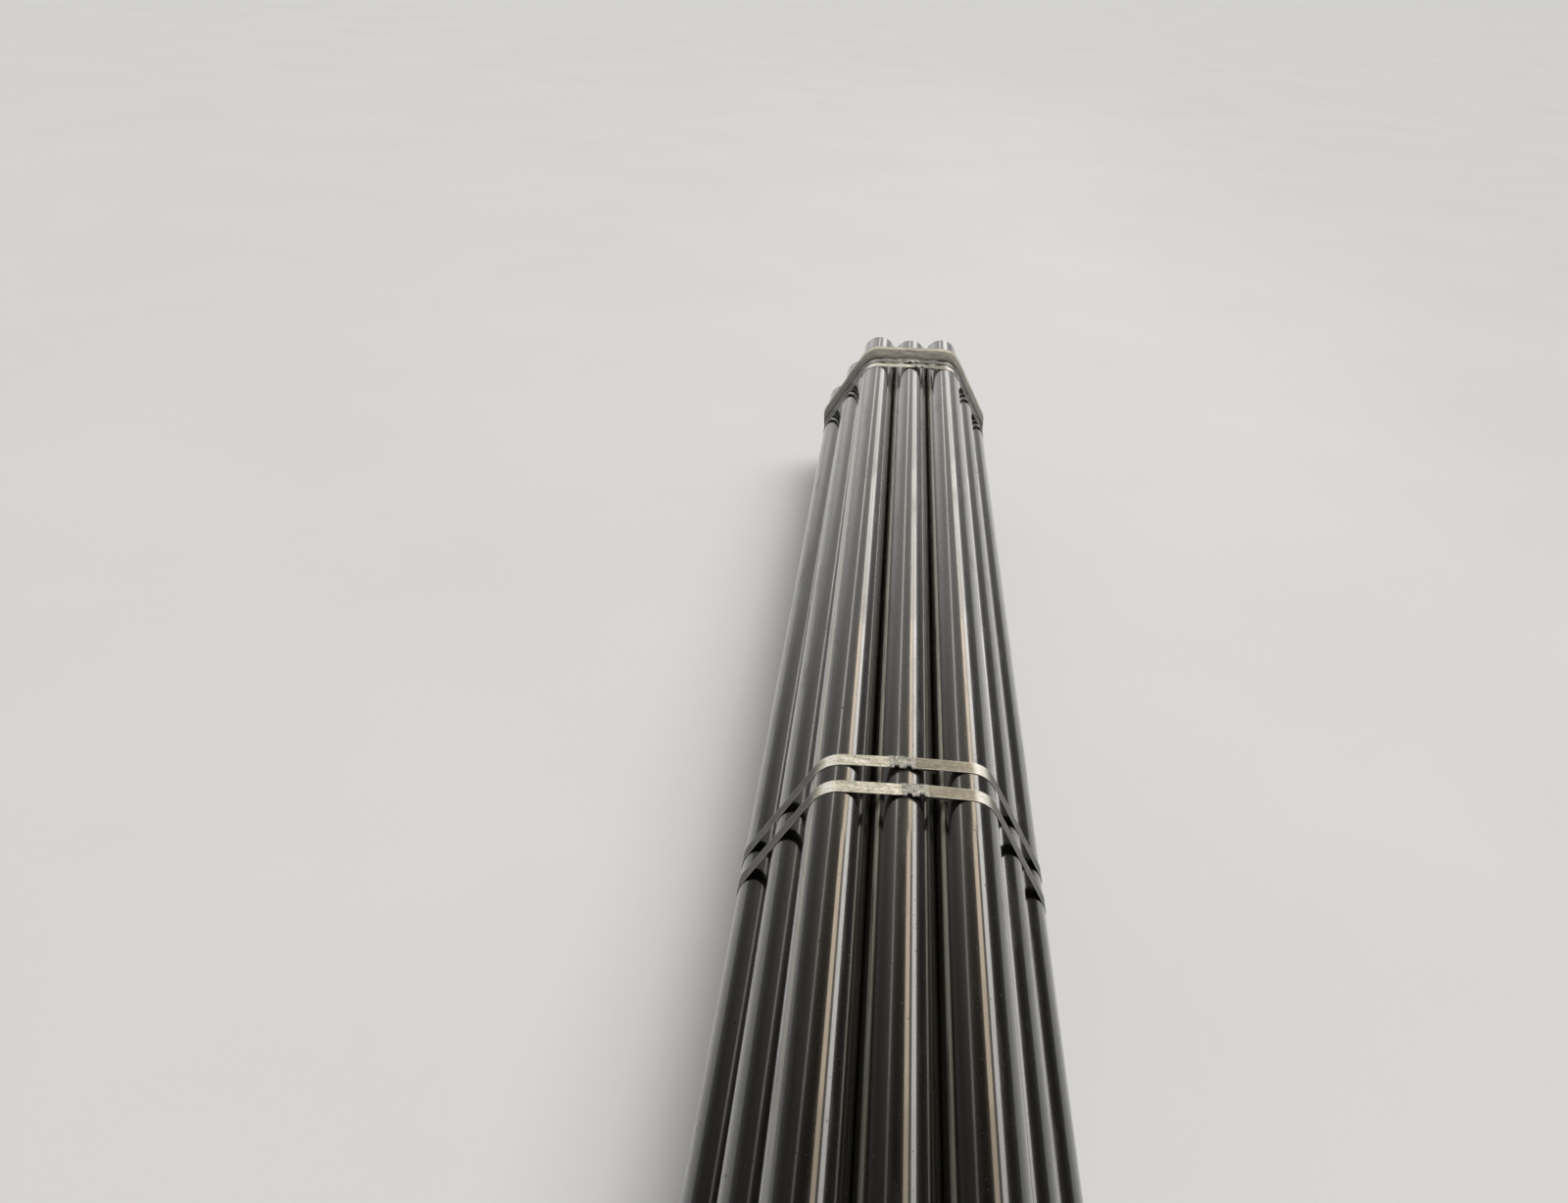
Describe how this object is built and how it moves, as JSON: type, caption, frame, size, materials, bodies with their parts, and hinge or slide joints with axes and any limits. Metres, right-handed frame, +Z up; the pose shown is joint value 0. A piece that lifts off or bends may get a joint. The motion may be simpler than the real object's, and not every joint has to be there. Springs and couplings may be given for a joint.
{
  "type": "bundle of steel pipes",
  "caption": "Hexagonal bundle of round black steel pipes with open bevelled ends, held by pairs of steel straps with crimped seals and a woven lifting band near each end.",
  "frame": {"origin": "middle of the underside of the whole bundle, on the floor plane", "axes": "+Y along the pipes towards the end that shows in the picture, +Z up, +X to the right"},
  "size_m": [0.5936, 5.848, 0.5321],
  "materials": {
    "pipe": "semi-gloss black varnish with fine wavy rolling marks and light handling scuffs",
    "strap": "bright galvanised strip, slightly dulled and oxidised",
    "seal": "galvanised sheet, crimped, with bright cut edges",
    "sling": "flat woven webbing, dark grey with light selvedges, dusty"
  },
  "bodies": {
    "root": {"pipe_01": "pipe", "pipe_02": "pipe", "pipe_03": "pipe", "pipe_04": "pipe", "pipe_05": "pipe", "pipe_06": "pipe", "pipe_07": "pipe", "pipe_08": "pipe", "pipe_09": "pipe", "pipe_10": "pipe", "pipe_11": "pipe", "pipe_12": "pipe", "pipe_13": "pipe", "pipe_14": "pipe", "pipe_15": "pipe", "pipe_16": "pipe", "pipe_17": "pipe", "pipe_18": "pipe", "pipe_19": "pipe", "strap_far_1": "strap", "strap_far_2": "strap", "strap_mid_1": "strap", "strap_mid_2": "strap", "strap_near_1": "strap", "strap_near_2": "strap", "seal_far_1": "seal", "seal_far_2": "seal", "seal_mid_1": "seal", "seal_mid_2": "seal", "seal_near_1": "seal", "seal_near_2": "seal", "sling_far": "sling", "sling_near": "sling"}
  },
  "joints": []
}
